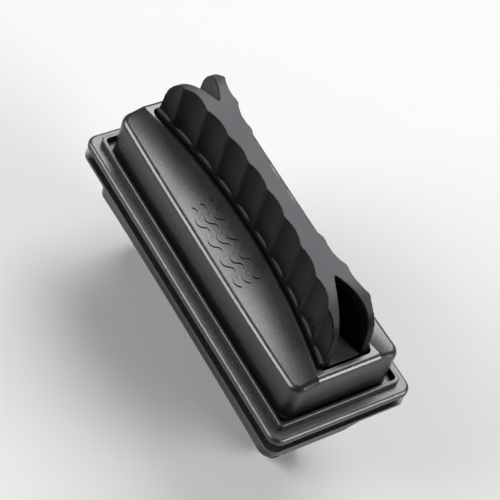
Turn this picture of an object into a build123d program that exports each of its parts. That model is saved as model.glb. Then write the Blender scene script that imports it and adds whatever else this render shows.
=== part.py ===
from build123d import *
import os
from math import sqrt

# Magnetic glass cleaner: two halves that hold each other through a pane by magnets.
# The halves are shown clamped pad to pad, with no pane between them.
# X runs along the length, Y across, +Z from the inner (wet) half to the outer (dry) half.
# The origin is at the middle of the inner grip's flat edge, on which the pair stands.
# Every piece is drawn in its half's own frame, where Z is 0 at the contact plane of the pads.

# Base plate: a flange with a raised rim
flange_length = 72.0
flange_width = 30.0
flange_thickness = 1.3
flange_corner = 2.2
flange_edge_round = 0.75
rim_inset = 2.1
rim_width = 0.7
rim_height = 1.5
rim_edge_round = 0.25
rim_corner = 0.7
lip_width = 1.3          # flange that shows around the pad's recess
register_height = 0.6    # plateau that centres the housing

# Cleaning pads
pad_thickness = 1.5
pad_recess = 0.65
pad_side_clearance = 0.2
pad_gap = 0.2            # between the two pads
adhesive_thickness = 0.15
adhesive_margin = 0.5

# Housing
body_inset = 3.5
body_corner = 2.4
body_wall = 1.6
seal_thickness = 0.6
seal_bulge = 0.2
shoulder_height = 8.6    # above the flange
shoulder_round = 1.2
crest_rise = 1.9         # of the grip's surround above the shoulder
cove_overrun = 1.0       # of the cove past the body's side, so each flank is one surface
crest_land = 0.45
crest_round = 0.3
roof_thickness = 1.6
register_clearance = 0.15

# Grip
grip_end_inset = 2.1    # of its foot from the body's ends
grip_height = 22.8       # above the flange
grip_half_middle = 1.9
grip_side_inset = 6.0    # of its widest points from the body's sides
grip_end_round = 7.5
grip_end_lean = 1.4       # of each end, from foot to top
grip_tip_round = 0.8
grip_wall = 1.8
grip_clearance = 0.35
grip_flange_thickness = 1.0
grip_flange_margin = 1.9     # on each side of the walls
pocket_length = 10.25
pocket_bow = 0.45
pocket_floor_thickness = 3.2   # nearly level with the crest
flute_count = 10
flute_end_margin = 0.25
flute_land = 0.5
flute_depth = 0.5
flute_foot = 1.2         # above the housing's crest

# Inside the housing
inner_clearance = 0.2
yoke_thickness = 1.0
foam_thickness = 0.9
magnet_clearance = 0.1
tray_end_wall = 2.8
tray_side_wall = 2.1
tray_web = 2.4           # between the two magnets
foam_margin = 2.0
inner_corner = 1.0

# Wave relief on the flanks
wave_rows = 3
wave_crests = 4
wave_length = 4.6
wave_height = 0.7
wave_line = 0.5
wave_relief = 0.22
wave_crest_margin = 1.5  # of plain flank between the rows and the crest
wave_side_margin = 1.9   # and between the rows and the body's side

# Levels in a half's frame
pad_face = pad_gap / 2
flange_bottom = pad_face + pad_thickness + adhesive_thickness - pad_recess
flange_top = flange_bottom + flange_thickness
rim_top = flange_top + rim_height
register_top = flange_top + register_height
housing_bottom = flange_top + seal_thickness
shoulder_level = flange_top + shoulder_height
crest_level = shoulder_level + crest_rise
roof_level = shoulder_level - roof_thickness
grip_flange_bottom = roof_level - grip_flange_thickness
grip_top = flange_top + grip_height
foam_bottom = grip_flange_bottom - foam_thickness
yoke_bottom = foam_bottom - yoke_thickness
magnet_thickness = yoke_bottom - register_top
contact_height = grip_top     # of the contact plane above the standing face

body_length = flange_length - 2 * body_inset
body_width = flange_width - 2 * body_inset
cavity_length = body_length - 2 * body_wall
cavity_width = body_width - 2 * body_wall
cavity_corner = body_corner - body_wall
crest_middle = grip_half_middle + grip_clearance + crest_land
cove_width = body_width / 2 - crest_middle + cove_overrun
grip_length = body_length - 2 * grip_end_inset
half_grip = grip_length / 2
pocket_apex = half_grip - pocket_length
grip_half_end = body_width / 2 - grip_side_inset
grip_bow = grip_half_end - grip_half_middle
bow_radius = (half_grip**2 + grip_bow**2) / (2 * grip_bow)
crest_radius = bow_radius - grip_clearance - crest_land
cove_radius = (cove_width**2 + crest_rise**2) / (2 * crest_rise)
flute_pitch = (grip_length - 2 * flute_end_margin) / flute_count
flute_chord = flute_pitch - flute_land
flute_radius = (flute_chord**2 / 4 + flute_depth**2) / (2 * flute_depth)
tray_length = cavity_length - 2 * inner_clearance
tray_width = cavity_width - 2 * inner_clearance
window_length = (tray_length - 2 * tray_end_wall - tray_web) / 2
window_width = tray_width - 2 * tray_side_wall
magnet_length = window_length - 2 * magnet_clearance
magnet_width = window_width - 2 * magnet_clearance
magnet_pitch = window_length + tray_web
first_row = crest_middle + wave_crest_margin + wave_height + wave_line / 2
last_row = body_width / 2 - wave_side_margin - wave_height - wave_line / 2
wave_middle = (first_row + last_row) / 2
wave_row_pitch = (last_row - first_row) / (wave_rows - 1)


def grip_face(x):
    """Distance of the grip's bowed face from the centreline at x."""
    return grip_half_middle + bow_radius - sqrt(bow_radius**2 - x**2)


def grip_outline():
    """Hourglass plan of the grip, with its four tips rounded."""
    with BuildSketch() as outline:
        with BuildLine():
            for side in (-1, 1):
                ends = [(end * half_grip, side * grip_half_end) for end in (-1, 1)]
                ThreePointArc(ends[0], (0, side * grip_half_middle), ends[1])
            for end in (-1, 1):
                Line((end * half_grip, -grip_half_end), (end * half_grip, grip_half_end))
        make_face()
        fillet(outline.vertices(), grip_tip_round)
    return outline.sketch


def pocket_outline():
    """Plan of the pocket between the walls at the +X end, from its apex to past their tips."""
    mouth_x = half_grip + grip_wall
    mouth_half = grip_face(half_grip) - grip_wall
    with BuildSketch() as pocket:
        with BuildLine():
            SagittaArc((pocket_apex, 0), (mouth_x, mouth_half), pocket_bow)
            Line((mouth_x, mouth_half), (mouth_x, -mouth_half))
            SagittaArc((mouth_x, -mouth_half), (pocket_apex, 0), pocket_bow)
        make_face()
    return pocket.sketch


def wave_outline():
    """One wave line along X, centred on the origin."""
    quarter = wave_length / 4
    with BuildSketch() as wave:
        with BuildLine():
            for crest in range(wave_crests):
                start = (crest - wave_crests / 2) * wave_length
                for way in (1, -1):
                    peak = (start + quarter, way * wave_height)
                    ThreePointArc((start, 0), peak, (start + 2 * quarter, 0))
                    start += 2 * quarter
        trace(line_width=wave_line)
    return wave.sketch


def space_over_flank(rise):
    """Ring-shaped solid whose lower face, lifted by rise, is the coved flank on the -Y side."""
    with BuildPart() as space:
        with BuildSketch(Plane.YZ):
            with BuildLine():
                foot = (-crest_middle - cove_width, shoulder_level + rise)
                crest = (-crest_middle, crest_level + rise)
                above = crest_level + 2 * crest_rise
                RadiusArc(foot, crest, -cove_radius)
                Polyline(crest, (-crest_middle, above), (-flange_width, above), (-flange_width, foot[1]), foot)
            make_face()
        revolve(axis=Axis((0, -crest_middle - crest_radius, 0), (0, 0, 1)))
    return space.part


# Base plate, with the pad's recess underneath
with BuildPart() as base_plate:
    with BuildSketch(Plane.XY.offset(flange_bottom)):
        RectangleRounded(flange_length, flange_width, flange_corner)
    extrude(amount=flange_thickness)
    fillet(base_plate.edges().group_by(Axis.Z)[-1], flange_edge_round)
    with BuildSketch(Plane.XY.offset(flange_top)):
        outside = 2 * rim_inset
        inside = outside + 2 * rim_width
        RectangleRounded(flange_length - outside, flange_width - outside, rim_corner)
        RectangleRounded(flange_length - inside, flange_width - inside, rim_corner, mode=Mode.SUBTRACT)
    extrude(amount=rim_height)
    fillet(base_plate.edges().group_by(Axis.Z)[-1], rim_edge_round)
    with BuildSketch(Plane.XY.offset(flange_top)):
        register = 2 * register_clearance
        RectangleRounded(cavity_length - register, cavity_width - register, cavity_corner)
    extrude(amount=register_height)
    with BuildSketch(Plane.XY.offset(flange_bottom)):
        RectangleRounded(flange_length - 2 * lip_width, flange_width - 2 * lip_width, flange_corner - lip_width)
    extrude(amount=pad_recess, mode=Mode.SUBTRACT)

# Seal between the housing's foot and the base plate
with BuildPart() as seal_ring:
    with BuildSketch(Plane.XY.offset(flange_top)):
        RectangleRounded(body_length + 2 * seal_bulge, body_width + 2 * seal_bulge, body_corner + seal_bulge)
        RectangleRounded(cavity_length, cavity_width, cavity_corner, mode=Mode.SUBTRACT)
    extrude(amount=seal_thickness)

# Housing, hollow from below, with coved flanks that rise to the grip's slot
flank_space = space_over_flank(0)
with BuildPart() as housing:
    with BuildSketch(Plane.XY.offset(housing_bottom)):
        RectangleRounded(body_length, body_width, body_corner)
    extrude(amount=crest_level - housing_bottom)
    add(flank_space, mode=Mode.SUBTRACT)
    add(flank_space.mirror(Plane.XZ), mode=Mode.SUBTRACT)
    crest_edges = housing.edges().filter_by(GeomType.CIRCLE)
    fillet(crest_edges.filter_by(lambda edge: edge.length > grip_length), crest_round)
    high_edges = housing.edges().filter_by(lambda edge: edge.center().Z > shoulder_level - crest_round)
    upright_edges = high_edges.filter_by(Axis.Z)
    side_edges = high_edges.filter_by(lambda edge: abs(edge.center().Y) > body_width / 2 - body_corner / 3)
    end_edges = high_edges.filter_by(lambda edge: abs(edge.center().X) > body_length / 2 - body_corner / 3)
    fillet(ShapeList(set(side_edges + end_edges) - set(upright_edges)), shoulder_round)
    with BuildSketch(Plane.XY.offset(housing_bottom)):
        RectangleRounded(cavity_length, cavity_width, cavity_corner)
    extrude(amount=roof_level - housing_bottom, mode=Mode.SUBTRACT)
    with BuildSketch(Plane.XY.offset(roof_level)):
        add(grip_outline())
        offset(amount=grip_clearance)
    extrude(amount=crest_level - roof_level, mode=Mode.SUBTRACT)

# Plain waves that stand proud of both flanks, part of the housing
lifted_space = space_over_flank(wave_relief)
with BuildPart() as waves:
    with BuildSketch(Plane.XY.offset(roof_level + roof_thickness / 2)):
        for side in (-1, 1):
            for row in range(wave_rows):
                row_y = side * wave_middle + (row - (wave_rows - 1) / 2) * wave_row_pitch
                add(wave_outline().moved(Location((0, row_y))))
    extrude(amount=crest_level - roof_level)
    add(lifted_space, mode=Mode.SUBTRACT)
    add(lifted_space.mirror(Plane.XZ), mode=Mode.SUBTRACT)
housing.part = housing.part + waves.part

# Grip: two bowed walls that meet in the middle and part towards the ends
with BuildPart() as grip:
    with BuildSketch(Plane.XY.offset(roof_level)):
        add(grip_outline())
    extrude(amount=grip_top - roof_level)
    with BuildSketch(Plane.XZ) as side_view:
        with BuildLine():
            foot = [(end * half_grip, roof_level) for end in (-1, 1)]
            top = [(end * (half_grip - grip_end_lean), grip_top) for end in (-1, 1)]
            Polyline(foot[0], foot[1], top[1], top[0], close=True)
        make_face()
        fillet(side_view.vertices().group_by(Axis.Y)[-1], grip_end_round)
    extrude(amount=flange_width / 2, both=True, mode=Mode.INTERSECT)
    with BuildSketch(Plane.XY.offset(roof_level + pocket_floor_thickness)):
        add(pocket_outline())
        mirror(about=Plane.YZ)
    extrude(amount=grip_top, mode=Mode.SUBTRACT)
    with BuildSketch(Plane.XY.offset(crest_level + flute_foot)):
        for flute in range(flute_count):
            flute_x = (flute - (flute_count - 1) / 2) * flute_pitch
            flute_y = grip_face(flute_x) + flute_radius - flute_depth
            with Locations((flute_x, flute_y), (flute_x, -flute_y)):
                Circle(flute_radius)
    extrude(amount=grip_top, mode=Mode.SUBTRACT)
    with BuildSketch(Plane.XY.offset(grip_flange_bottom)):
        grip_flange_width = 2 * (grip_half_end + grip_flange_margin)
        RectangleRounded(tray_length, grip_flange_width, inner_corner)
    extrude(amount=grip_flange_thickness)

# Magnets in their tray, under a steel yoke and a foam spacer
with BuildPart() as magnet_tray:
    with BuildSketch(Plane.XY.offset(register_top)):
        RectangleRounded(tray_length, tray_width, cavity_corner)
        with GridLocations(magnet_pitch, 0, 2, 1):
            Rectangle(window_length, window_width, mode=Mode.SUBTRACT)
    extrude(amount=magnet_thickness)

magnets = {}
for end, name in ((-1, "rear_magnet"), (1, "front_magnet")):
    with BuildPart() as magnet:
        with BuildSketch(Plane.XY.offset(register_top)):
            with Locations((end * magnet_pitch / 2, 0)):
                RectangleRounded(magnet_length, magnet_width, inner_corner)
        extrude(amount=magnet_thickness)
    magnets[name] = magnet

with BuildPart() as yoke_plate:
    with BuildSketch(Plane.XY.offset(yoke_bottom)):
        RectangleRounded(magnet_pitch + magnet_length, magnet_width, inner_corner)
    extrude(amount=yoke_thickness)

with BuildPart() as foam_spacer:
    with BuildSketch(Plane.XY.offset(foam_bottom)):
        foam_length = magnet_pitch + magnet_length - 2 * foam_margin
        RectangleRounded(foam_length, grip_flange_width, inner_corner)
    extrude(amount=foam_thickness)

# Pad and the adhesive sheet that holds it
with BuildPart() as pad:
    with BuildSketch(Plane.XY.offset(pad_face)):
        pad_inset = lip_width + pad_side_clearance
        pad_length = flange_length - 2 * pad_inset
        pad_width = flange_width - 2 * pad_inset
        RectangleRounded(pad_length, pad_width, flange_corner - pad_inset)
    extrude(amount=pad_thickness)

with BuildPart() as pad_adhesive:
    with BuildSketch(Plane.XY.offset(pad_face + pad_thickness)):
        RectangleRounded(pad_length - 2 * adhesive_margin, pad_width - 2 * adhesive_margin, inner_corner)
    extrude(amount=adhesive_thickness)

# Both halves hold the same pieces, apart from their pads, and the inner half hangs upside down
shared = {
    "base_plate": base_plate, "seal_ring": seal_ring, "housing": housing, "grip": grip,
    "magnet_tray": magnet_tray, "yoke_plate": yoke_plate, "foam_spacer": foam_spacer,
    "pad_adhesive": pad_adhesive, **magnets,
}
os.makedirs("parts", exist_ok=True)
for half, pad_name, turn in (("outer", "felt_pad", 0), ("inner", "scrub_pad", 180)):
    place = Location((0, 0, contact_height), (turn, 0, 0))
    for name, piece in {**shared, pad_name: pad}.items():
        solid = piece.part.moved(place)
        solid.label = f"{half}_{name}"
        export_step(solid, f"parts/{half}_{name}.step")
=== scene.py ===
import math
import random

import bpy
from mathutils import Matrix, Vector, noise


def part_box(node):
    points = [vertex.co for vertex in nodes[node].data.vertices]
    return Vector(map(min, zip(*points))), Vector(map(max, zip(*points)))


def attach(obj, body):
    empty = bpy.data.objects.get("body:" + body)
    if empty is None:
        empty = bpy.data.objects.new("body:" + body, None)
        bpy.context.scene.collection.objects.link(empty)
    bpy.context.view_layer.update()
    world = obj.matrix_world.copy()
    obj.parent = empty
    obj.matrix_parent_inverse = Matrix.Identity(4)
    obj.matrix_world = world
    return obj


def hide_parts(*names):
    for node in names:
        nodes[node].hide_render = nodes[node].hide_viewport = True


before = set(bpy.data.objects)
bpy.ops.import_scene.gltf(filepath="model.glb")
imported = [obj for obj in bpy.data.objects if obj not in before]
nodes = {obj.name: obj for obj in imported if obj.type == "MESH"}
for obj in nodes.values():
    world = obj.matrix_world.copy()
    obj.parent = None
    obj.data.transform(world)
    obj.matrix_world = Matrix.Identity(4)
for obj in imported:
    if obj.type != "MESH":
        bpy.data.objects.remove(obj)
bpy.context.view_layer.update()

mm = 0.001
halves = {"outer": "outer_half", "inner": "inner_half"}


# Materials
surfaceNoise = {"roughness": 0.55, "grainDetail": 2.0, "smudgeDetail": 4.0, "swellDetail": 1.0,
                "smudgeLow": 0.3, "smudgeHigh": 0.7}
mixSockets = {"factor": 0, "dark": 6, "pale": 7, "result": 2}  # of a Mix node set to colours


def newMaterial(name, values):
    material = bpy.data.materials.new(name)
    material.use_nodes = True
    shader = material.node_tree.nodes["Principled BSDF"]
    shader.inputs["Base Color"].default_value = (*values["color"], 1)
    shader.inputs["Roughness"].default_value = values["roughness"]
    shader.inputs["Metallic"].default_value = values.get("metallic", 0)
    shader.inputs["Specular IOR Level"].default_value = values.get("specular", 0.5)
    shader.inputs["Sheen Weight"].default_value = values.get("sheen", 0)
    return material


def addNode(material, kind, **inputs):
    node = material.node_tree.nodes.new(kind)
    for key, value in inputs.items():
        node.inputs[key.replace("_", " ")].default_value = value
    return node


def link(material, fromSocket, toSocket):
    material.node_tree.links.new(fromSocket, toSocket)


def noiseSocket(material, size, detail=surfaceNoise["grainDetail"], stretch=(1, 1, 1)):
    coordinates = addNode(material, "ShaderNodeTexCoord")
    scaled = addNode(material, "ShaderNodeMapping", Scale=stretch)
    field = addNode(material, "ShaderNodeTexNoise", Scale=1 / size, Detail=detail)
    field.inputs["Roughness"].default_value = surfaceNoise["roughness"]
    link(material, coordinates.outputs["Object"], scaled.inputs["Vector"])
    link(material, scaled.outputs["Vector"], field.inputs["Vector"])
    return field.outputs["Fac"]


def ranged(material, socket, low, high, outLow, outHigh):
    spread = addNode(material, "ShaderNodeMapRange")
    for index, value in enumerate((low, high, outLow, outHigh), start=1):
        spread.inputs[index].default_value = value
    link(material, socket, spread.inputs[0])
    return spread.outputs[0]


def paint(material, factor, darkColor, paleColor):
    mixer = material.node_tree.nodes.new("ShaderNodeMix")
    mixer.data_type = "RGBA"
    mixer.inputs[mixSockets["dark"]].default_value = (*darkColor, 1)
    mixer.inputs[mixSockets["pale"]].default_value = (*paleColor, 1)
    link(material, factor, mixer.inputs[mixSockets["factor"]])
    shader = material.node_tree.nodes["Principled BSDF"]
    link(material, mixer.outputs[mixSockets["result"]], shader.inputs["Base Color"])
    return mixer


def bump(material, height, depth, below=None):
    relief = addNode(material, "ShaderNodeBump", Strength=1.0, Distance=depth)
    link(material, height, relief.inputs["Height"])
    if below is not None:
        link(material, below.outputs["Normal"], relief.inputs["Normal"])
    shader = material.node_tree.nodes["Principled BSDF"]
    link(material, relief.outputs["Normal"], shader.inputs["Normal"])
    return relief


def plastic(name, values):
    material = newMaterial(name, values)
    shader = material.node_tree.nodes["Principled BSDF"]
    speckle = noiseSocket(material, values["speckleSize"])
    fleck = ranged(material, speckle, values["speckleLow"], values["speckleHigh"], 0, 1)
    paint(material, fleck, values["color"], values["speckleColor"])
    smudge = noiseSocket(material, values["smudgeSize"], detail=surfaceNoise["smudgeDetail"])
    smoothest = values["roughness"] - values["roughnessSpread"]
    roughest = values["roughness"] + values["roughnessSpread"]
    smudgeLow, smudgeHigh = surfaceNoise["smudgeLow"], surfaceNoise["smudgeHigh"]
    roughness = ranged(material, smudge, smudgeLow, smudgeHigh, smoothest, roughest)
    link(material, roughness, shader.inputs["Roughness"])
    swellField = noiseSocket(material, values["swellSize"], detail=surfaceNoise["swellDetail"])
    swell = bump(material, swellField, values["swellDepth"])
    grain = noiseSocket(material, values["grainSize"], stretch=values.get("grainStretch", (1, 1, 1)))
    bump(material, grain, values["grainDepth"], below=swell)
    return material


speckledPlasticValues = {
    "color": (0.006, 0.0062, 0.007), "roughness": 0.36, "roughnessSpread": 0.05, "specular": 0.6,
    "speckleSize": 0.32 * mm, "speckleLow": 0.56, "speckleHigh": 0.68, "speckleColor": (0.03, 0.031, 0.034),
    "smudgeSize": 9 * mm, "swellSize": 12 * mm, "swellDepth": 0.02 * mm,
    "grainSize": 0.26 * mm, "grainDepth": 0.035 * mm,
}
satinPlasticValues = {
    "color": (0.0045, 0.0047, 0.0054), "roughness": 0.29, "roughnessSpread": 0.04, "specular": 0.62,
    "speckleSize": 0.4 * mm, "speckleLow": 0.55, "speckleHigh": 0.75, "speckleColor": (0.009, 0.0094, 0.0105),
    "smudgeSize": 11 * mm, "swellSize": 14 * mm, "swellDepth": 0.04 * mm,
    "grainSize": 0.3 * mm, "grainDepth": 0.018 * mm,
}
gripPlasticValues = {
    "color": (0.0016, 0.0017, 0.002), "roughness": 0.42, "roughnessSpread": 0.05, "specular": 0.1,
    "speckleSize": 0.3 * mm, "speckleLow": 0.56, "speckleHigh": 0.7, "speckleColor": (0.006, 0.0062, 0.007),
    "smudgeSize": 8 * mm, "swellSize": 10 * mm, "swellDepth": 0.03 * mm,
    "grainSize": 0.34 * mm, "grainDepth": 0.05 * mm, "grainStretch": (1, 1, 0.12),
    # The paler colour below is a painted highlight for the grip's level faces, faded in by how level a face
    # is
    "paintedHighlightColor": (0.034, 0.035, 0.038), "paintedHighlightStart": 0.75, "paintedHighlightFull": 0.95,  # by how level a face is
}
trayPlasticValues = {
    "color": (0.05, 0.052, 0.055), "roughness": 0.5, "roughnessSpread": 0.05,
    "speckleSize": 0.5 * mm, "speckleLow": 0.5, "speckleHigh": 0.8, "speckleColor": (0.06, 0.062, 0.065),
    "smudgeSize": 9 * mm, "swellSize": 12 * mm, "swellDepth": 0.02 * mm,
    "grainSize": 0.4 * mm, "grainDepth": 0.02 * mm,
}
sealRubberValues = {
    "color": (0.006, 0.006, 0.0065), "roughness": 0.75, "roughnessSpread": 0.06, "specular": 0.3,
    "speckleSize": 0.4 * mm, "speckleLow": 0.5, "speckleHigh": 0.8, "speckleColor": (0.012, 0.012, 0.0125),
    "smudgeSize": 4 * mm, "swellSize": 3 * mm, "swellDepth": 0.02 * mm,
    "grainSize": 0.2 * mm, "grainDepth": 0.02 * mm,
}
steelValues = {
    "color": (0.52, 0.53, 0.54), "roughness": 0.32, "roughnessSpread": 0.07, "metallic": 1,
    "speckleSize": 1.4 * mm, "speckleLow": 0.45, "speckleHigh": 0.6, "speckleColor": (0.62, 0.63, 0.63),
    "smudgeSize": 3 * mm, "swellSize": 6 * mm, "swellDepth": 0.01 * mm,
    "grainSize": 0.3 * mm, "grainDepth": 0.004 * mm,
}
magnetValues = {
    "color": (0.045, 0.045, 0.05), "roughness": 0.48, "roughnessSpread": 0.08, "metallic": 0.6,
    "speckleSize": 0.5 * mm, "speckleLow": 0.5, "speckleHigh": 0.7, "speckleColor": (0.09, 0.09, 0.095),
    "smudgeSize": 2 * mm, "swellSize": 4 * mm, "swellDepth": 0.02 * mm,
    "grainSize": 0.15 * mm, "grainDepth": 0.02 * mm,
}
adhesiveValues = {
    "color": (0.6, 0.6, 0.56), "roughness": 0.45, "roughnessSpread": 0.05,
    "speckleSize": 0.8 * mm, "speckleLow": 0.45, "speckleHigh": 0.7, "speckleColor": (0.7, 0.7, 0.66),
    "smudgeSize": 3 * mm, "swellSize": 3 * mm, "swellDepth": 0.02 * mm,
    "grainSize": 0.3 * mm, "grainDepth": 0.01 * mm,
}
foamValues = {
    "color": (0.03, 0.03, 0.032), "roughness": 0.95, "roughnessSpread": 0.03, "specular": 0.2,
    "speckleSize": 0.35 * mm, "speckleLow": 0.45, "speckleHigh": 0.6, "speckleColor": (0.075, 0.075, 0.08),
    "smudgeSize": 4 * mm, "swellSize": 3 * mm, "swellDepth": 0.05 * mm,
    "grainSize": 0.3 * mm, "grainDepth": 0.15 * mm,
}
feltValues = {
    "color": (0.004, 0.004, 0.0043), "roughness": 0.95, "roughnessSpread": 0.03,
    "specular": 0.15, "sheen": 0.15,
    "speckleSize": 0.3 * mm, "speckleLow": 0.45, "speckleHigh": 0.65, "speckleColor": (0.009, 0.009, 0.0096),
    "smudgeSize": 5 * mm, "swellSize": 2.5 * mm, "swellDepth": 0.05 * mm,
    "grainSize": 0.18 * mm, "grainDepth": 0.06 * mm,
}
scrubValues = {
    "color": (0.005, 0.005, 0.0054), "roughness": 0.55, "roughnessSpread": 0.06, "specular": 0.4,
    "speckleSize": 0.3 * mm, "speckleLow": 0.5, "speckleHigh": 0.7, "speckleColor": (0.01, 0.01, 0.0105),
    "smudgeSize": 4 * mm, "swellSize": 3 * mm, "swellDepth": 0.02 * mm,
    "grainSize": 0.15 * mm, "grainDepth": 0.02 * mm,
}
materials = {
    "base_plate": plastic("speckledPlastic", speckledPlasticValues),
    "housing": plastic("satinPlastic", satinPlasticValues),
    "grip": plastic("gripPlastic", gripPlasticValues),
    "seal_ring": plastic("sealRubber", sealRubberValues),
    "magnet_tray": plastic("trayPlastic", trayPlasticValues),
    "yoke_plate": plastic("yokeSteel", steelValues),
    "rear_magnet": plastic("magnetCeramic", magnetValues),
    "pad_adhesive": plastic("adhesiveTape", adhesiveValues),
    "foam_spacer": plastic("closedFoam", foamValues),
    "felt_pad": plastic("woolFelt", feltValues),
    "scrub_pad": plastic("scrubLoops", scrubValues),
}
materials["front_magnet"] = materials["rear_magnet"]

# The grip's level faces are painted paler than its walls: a painted highlight standing in for the key light's
# reflection, faded in by how level a face is
gripMaterial = materials["grip"]
gripShader = gripMaterial.node_tree.nodes["Principled BSDF"]
facing = addNode(gripMaterial, "ShaderNodeTexCoord")
split = addNode(gripMaterial, "ShaderNodeSeparateXYZ")
upright = addNode(gripMaterial, "ShaderNodeMath")
upright.operation = "ABSOLUTE"
link(gripMaterial, facing.outputs["Normal"], split.inputs["Vector"])
link(gripMaterial, split.outputs["Z"], upright.inputs[0])
paintedHighlightStart, paintedHighlightFull = gripPlasticValues["paintedHighlightStart"], gripPlasticValues["paintedHighlightFull"]
# Mask of the level faces that get the painted highlight
paintedHighlightMask = ranged(gripMaterial, upright.outputs[0], paintedHighlightStart, paintedHighlightFull, 0, 1)
wallColor = gripShader.inputs["Base Color"].links[0].from_socket
paintedHighlightMixer = paint(gripMaterial, paintedHighlightMask, gripPlasticValues["color"], gripPlasticValues["paintedHighlightColor"])
link(gripMaterial, wallColor, paintedHighlightMixer.inputs[mixSockets["dark"]])
print("materials", len(bpy.data.materials))

# Rigid parts keep their CAD shapes
for name, node in nodes.items():
    kind = name.split("_", 1)[1]
    node.data.materials.clear()
    node.data.materials.append(materials[kind])
print("frame nodes", len(nodes))

# Grip edges, rounded as moulded
gripEdges = {"voxel": 0.16 * mm, "smoothing": 0.5, "rounds": 6, "keep": 0.3}
for half in halves:
    grip = nodes[half + "_grip"]
    remesh = grip.modifiers.new("remesh", "REMESH")
    remesh.mode = "VOXEL"
    remesh.voxel_size = gripEdges["voxel"]
    remesh.use_smooth_shade = True
    soften = grip.modifiers.new("soften", "SMOOTH")
    soften.factor = gripEdges["smoothing"]
    soften.iterations = gripEdges["rounds"]
    thin = grip.modifiers.new("thin", "DECIMATE")
    thin.ratio = gripEdges["keep"]
print("grip edges")

# Soft pieces
slabShape = {"leastCells": 4, "edgeSteps": 3, "sidePush": 0.5}


def meshPiece(name, vertices, faces, material):
    mesh = bpy.data.meshes.new(name)
    mesh.from_pydata(vertices, [], faces)
    mesh.validate()
    mesh.update()
    piece = bpy.data.objects.new(name, mesh)
    bpy.context.scene.collection.objects.link(piece)
    mesh.materials.append(material)
    for polygon in mesh.polygons:
        polygon.use_smooth = True
    return piece


def outlinePoint(u, v, halfLength, halfWidth, corner):
    x, y = u * halfLength, v * halfWidth
    overX, overY = abs(x) - (halfLength - corner), abs(y) - (halfWidth - corner)
    if overX > 0 and overY > 0:  # in a corner's square, drawn in to its arc
        reach = math.hypot(overX, overY)
        shrink = max(overX, overY) / reach
        x = math.copysign(halfLength - corner + overX * shrink, x)
        y = math.copysign(halfWidth - corner + overY * shrink, y)
    return x, y


def softSlab(name, low, high, values, material):
    halfLength, halfWidth = (high[0] - low[0]) / 2, (high[1] - low[1]) / 2
    middleX, middleY = (low[0] + high[0]) / 2, (low[1] + high[1]) / 2
    columns, rows = (
        max(slabShape["leastCells"], round(2 * half / values["cell"])) for half in (halfLength, halfWidth)
    )
    across = columns + 1
    edge, swell = values["edge"], values["unevenness"]
    vertices, faces = [], []

    def cellPoint(i, j, inset):
        u, v = 2 * i / columns - 1, 2 * j / rows - 1
        return outlinePoint(u, v, halfLength - inset, halfWidth - inset, values["corner"])

    def wobble(x, y, z):
        return noise.noise(Vector((x, y, z)) / values["wobbleSize"]) - 1

    def layer(inset, z):
        start = len(vertices)
        for j in range(rows + 1):
            for i in range(across):
                x, y = cellPoint(i, j, inset)
                vertices.append((x + middleX, y + middleY, z + swell * wobble(x, y, z)))
        return start

    def rim(start):
        return ([start + i for i in range(columns)] + [start + columns + j * across for j in range(rows)]
                + [start + rows * across + i for i in range(columns, 0, -1)]
                + [start + j * across for j in range(rows, 0, -1)])

    def border(inset, z):
        start = len(vertices)
        for index in rim(0):
            x, y = cellPoint(index % across, index // across, inset)
            push = swell * slabShape["sidePush"] * wobble(x, y, z)
            stretch = 1 + push / math.hypot(x, y)
            vertices.append((x * stretch + middleX, y * stretch + middleY, z))
        return list(range(start, len(vertices)))

    bottom = layer(edge, low[2] + swell)
    top = layer(edge, high[2])
    for start, flip in ((bottom, True), (top, False)):
        for j in range(rows):
            for i in range(columns):
                near, far = start + j * across + i, start + (j + 1) * across + i
                quad = [near, near + 1, far + 1, far]
                faces.append(quad[::-1] if flip else quad)
    loops = [rim(bottom)]
    steps = slabShape["edgeSteps"]
    for k in range(1, steps + 1):
        turn = math.pi / 2 * k / steps
        loops.append(border(edge * (1 - math.sin(turn)), low[2] + edge * (1 - math.cos(turn))))
    for k in range(steps):
        turn = math.pi / 2 * k / steps
        loops.append(border(edge * (1 - math.cos(turn)), high[2] - edge * (1 - math.sin(turn))))
    loops.append(rim(top))
    for first, second in zip(loops, loops[1:]):
        count = len(first)
        for k in range(count):
            ahead = (k + 1) % count
            faces.append([first[k], first[ahead], second[ahead], second[k]])
    return meshPiece(name, vertices, faces, material)


def strand(vertices, faces, path, thickness, sides=3):
    start = len(vertices)
    for index, point in enumerate(path):
        ahead = path[min(index + 1, len(path) - 1)] - path[max(index - 1, 0)]
        first = ahead.orthogonal().normalized()
        second = ahead.cross(first).normalized()
        for side in range(sides):
            turn = 2 * math.pi * side / sides
            out = first * math.cos(turn) + second * math.sin(turn)
            vertices.append(tuple(point + out * thickness / 2))
    for ring in range(len(path) - 1):
        for side in range(sides):
            other = (side + 1) % sides
            low, high = start + ring * sides, start + (ring + 1) * sides
            faces.append((low + side, low + other, high + other, high + side))
    faces.append(tuple(start + side for side in reversed(range(sides))))
    faces.append(tuple(start + (len(path) - 1) * sides + side for side in range(sides)))


def between(value, low, high):
    return max(low, min(high, value))


# Felt pad: an uneven slab
feltPad = {"cell": 0.9 * mm, "edge": 0.25 * mm, "corner": 0.7 * mm, "unevenness": 0.08 * mm,
           "wobbleSize": 1.6 * mm}
low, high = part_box("outer_felt_pad")
felt = softSlab("feltPad", low, high, feltPad, materials["felt_pad"])
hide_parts("outer_felt_pad")
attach(felt, halves["outer"])
print("felt pad")

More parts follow.
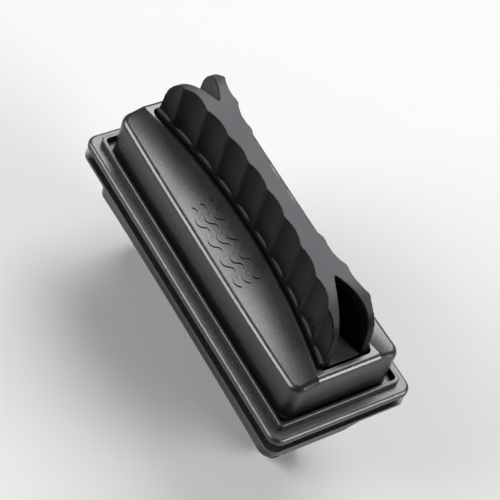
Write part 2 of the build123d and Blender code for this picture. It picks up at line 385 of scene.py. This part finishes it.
# Short loose fibres on the felt's working face, and every third one on its sides
feltFibres = {"seed": 11, "count": 2600, "sideEvery": 3, "length": 0.9 * mm, "lengthSpread": (0.6, 1.2),
              "thickness": 0.035 * mm, "points": 4, "bend": 0.6, "shortest": 0.02 * mm,
              "clearance": 0.03 * mm, "lift": 0.04 * mm, "inset": 0.3 * mm,
              "sideBand": (0.2 * mm, 0.7 * mm), "sideReach": (0.1 * mm, 0.85 * mm),
              "sideRise": 0.5, "endMargin": 1.0 * mm, "tolerance": 0.001 * mm}
random.seed(feltFibres["seed"])
faceLow = low + Vector((feltFibres["inset"],) * 3)
faceHigh = high - Vector((feltFibres["inset"],) * 3)
sideLow, sideHigh = (low[2] + reach for reach in feltFibres["sideReach"])
vertices, faces = [], []
for count in range(feltFibres["count"]):
    onSide = count % feltFibres["sideEvery"] == 0
    x, y = random.uniform(low[0], high[0]), random.uniform(low[1], high[1])
    bearing = random.uniform(0, 2 * math.pi)
    if onSide:
        along = random.uniform(-1, 1)
        if random.random() < high[0] / (high[0] + high[1]):
            x, y = along * (high[0] - feltFibres["endMargin"]), random.choice((low[1], high[1]))
        else:
            x, y = random.choice((low[0], high[0])), along * (high[1] - feltFibres["endMargin"])
        z = low[2] + random.uniform(*feltFibres["sideBand"])
    path = []
    for step in range(feltFibres["points"]):
        bearing += random.uniform(-feltFibres["bend"], feltFibres["bend"])
        stretch = random.uniform(*feltFibres["lengthSpread"])
        forward = feltFibres["length"] * stretch / (feltFibres["points"] - 1)
        if onSide:
            path.append(Vector((x, y, z)))
            if abs(abs(y) - high[1]) < feltFibres["tolerance"]:
                x = between(x + forward * math.cos(bearing), low[0], high[0])
            else:
                y = between(y + forward * math.cos(bearing), low[1], high[1])
            z = between(z + forward * math.sin(bearing) * feltFibres["sideRise"], sideLow, sideHigh)
        else:
            lift = feltFibres["clearance"] + random.uniform(0, feltFibres["lift"])
            path.append(Vector((x, y, low[2] + lift)))
            x = between(x + forward * math.cos(bearing), faceLow[0], faceHigh[0])
            y = between(y + forward * math.sin(bearing), faceLow[1], faceHigh[1])
    if all((after - before).length > feltFibres["shortest"] for before, after in zip(path, path[1:])):
        strand(vertices, faces, path, feltFibres["thickness"])
fibres = meshPiece("feltFibres", vertices, faces, materials["felt_pad"])
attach(fibres, halves["outer"])
print("felt fibres", len(vertices))

# Scrub pad: a soft backing
scrubPad = {"cell": 1.2 * mm, "edge": 0.2 * mm, "corner": 0.7 * mm, "unevenness": 0.04 * mm,
            "wobbleSize": 3 * mm, "backing": 0.8 * mm}
low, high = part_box("inner_scrub_pad")
backingTop = Vector((high[0], high[1], low[2] + scrubPad["backing"]))
scrub = softSlab("scrubPad", low, backingTop, scrubPad, materials["scrub_pad"])
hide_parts("inner_scrub_pad")
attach(scrub, halves["inner"])
print("scrub pad")

# Rows of stiff loops on the scrub pad, every second row shifted by half a pitch
scrubLoops = {"seed": 23, "pitch": 1.25 * mm, "rowShift": 0.5, "edgeMargin": 0.5,
              "scatter": (0.12 * mm, 0.1 * mm), "width": 0.7 * mm, "thread": 0.2 * mm,
              "sides": 4, "points": 8, "twist": 0.35, "heightSpread": (0.8, 1.0),
              "lean": 0.12 * mm, "roundness": 0.8, "rootDepth": 0.08}
random.seed(scrubLoops["seed"])
pitch, last = scrubLoops["pitch"], scrubLoops["points"] - 1
loopHeight = high[2] - backingTop[2] - scrubLoops["thread"] / 2
columns, rows = (int((2 * reach - pitch) / pitch) + 1 for reach in (high[0], high[1]))
vertices, faces = [], []
for column in range(columns):
    for row in range(rows):
        shift = scrubLoops["rowShift"] if row % 2 else 0
        x = (column + shift - (columns - 0.5) / 2) * pitch + random.uniform(-1, 1) * scrubLoops["scatter"][0]
        y = (row - (rows - 1) / 2) * pitch + random.uniform(-1, 1) * scrubLoops["scatter"][1]
        if abs(x) > high[0] - scrubLoops["edgeMargin"] * pitch:
            continue
        bearing = random.gauss(0, scrubLoops["twist"])
        height = loopHeight * random.uniform(*scrubLoops["heightSpread"])
        lean = random.uniform(-1, 1) * scrubLoops["lean"]
        path = []
        for step in range(scrubLoops["points"]):
            turn = math.pi * step / last
            out = math.cos(turn) * scrubLoops["width"] / 2
            rooted = step in (0, last)  # both ends start inside the backing
            rise = -scrubLoops["rootDepth"] if rooted else math.sin(turn) ** scrubLoops["roundness"]
            sideways = out * math.cos(bearing) + lean * max(rise, 0)
            path.append(Vector((x + sideways, y + out * math.sin(bearing), backingTop[2] + height * rise)))
        strand(vertices, faces, path, scrubLoops["thread"], sides=scrubLoops["sides"])
loops = meshPiece("scrubLoops", vertices, faces, materials["scrub_pad"])
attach(loops, halves["inner"])
print("scrub loops", columns, rows)

# Foam spacers, soft at their edges
foamSpacer = {"cell": 1.5 * mm, "edge": 0.22 * mm, "corner": 1.0 * mm, "unevenness": 0.05 * mm,
              "wobbleSize": 2 * mm}
for half, body in halves.items():
    low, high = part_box(half + "_foam_spacer")
    foam = softSlab(half + "Foam", low, high, foamSpacer, materials["foam_spacer"])
    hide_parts(half + "_foam_spacer")
    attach(foam, body)
print("foam spacers")

# Floor, lights and camera
stage = {"floorSize": 6.0, "floorColor": (0.34, 0.34, 0.335), "floorRoughness": 0.9, "floorSpecular": 0.2,
         "worldColor": (0.5, 0.5, 0.5), "worldStrength": 0.15}
bpy.ops.mesh.primitive_plane_add(size=stage["floorSize"])
floor = bpy.context.object
floor.name = "studioFloor"
floorPaperValues = {"color": stage["floorColor"], "roughness": stage["floorRoughness"],
                    "specular": stage["floorSpecular"]}
floorMaterial = newMaterial("floorPaper", floorPaperValues)
floor.data.materials.append(floorMaterial)

world = bpy.data.worlds.new("studioWorld")
world.use_nodes = True
background = world.node_tree.nodes["Background"]
background.inputs["Color"].default_value = (*stage["worldColor"], 1)
background.inputs["Strength"].default_value = stage["worldStrength"]
bpy.context.scene.world = world

lightsAim = Vector((0, 0, 30 * mm))
softboxes = {
    "key": {"towards": (-0.417, 0.52, 0.745), "distance": 0.75, "size": (0.6, 0.6), "radiance": 10.0},
    "ridge": {"towards": (-0.417, -0.74, 0.55), "distance": 0.7, "size": (0.5, 0.42), "radiance": 12.0},
    "end": {"towards": (0.783, 0.461, 0.417), "distance": 0.7, "size": (0.45, 0.35), "radiance": 15.0},
}
for name, box in softboxes.items():
    lamp = bpy.data.lights.new(name, "AREA")
    lamp.shape = "RECTANGLE"
    lamp.size, lamp.size_y = box["size"]
    lamp.energy = box["radiance"] * math.pi * lamp.size * lamp.size_y
    holder = bpy.data.objects.new(name, lamp)
    bpy.context.scene.collection.objects.link(holder)
    towards = Vector(box["towards"]).normalized()
    holder.location = lightsAim + towards * box["distance"]
    holder.rotation_mode = "QUATERNION"
    holder.rotation_quaternion = towards.to_track_quat("Z", "Y")

view = {"azimuth": 42.1, "elevation": 51.5, "roll": 22.0, "distance": 0.36, "lens": 142,
        "clipStart": 0.01, "aim": (0.0, 0.0, 0.031)}
azimuth, elevation, roll = (math.radians(view[key]) for key in ("azimuth", "elevation", "roll"))
level = math.cos(elevation)
back = Vector((math.sin(azimuth) * level, -math.cos(azimuth) * level, math.sin(elevation)))
camera = bpy.data.objects.new("camera", bpy.data.cameras.new("camera"))
bpy.context.scene.collection.objects.link(camera)
camera.data.lens = view["lens"]
camera.data.clip_start = view["clipStart"]
camera.location = Vector(view["aim"]) + back * view["distance"]
camera.rotation_mode = "QUATERNION"
rolled = Matrix.Rotation(roll, 3, "Z").to_quaternion()
camera.rotation_quaternion = back.to_track_quat("Z", "Y") @ rolled
bpy.context.scene.camera = camera
bpy.context.scene.view_settings.view_transform = "Standard"
print("floor, lights and camera")
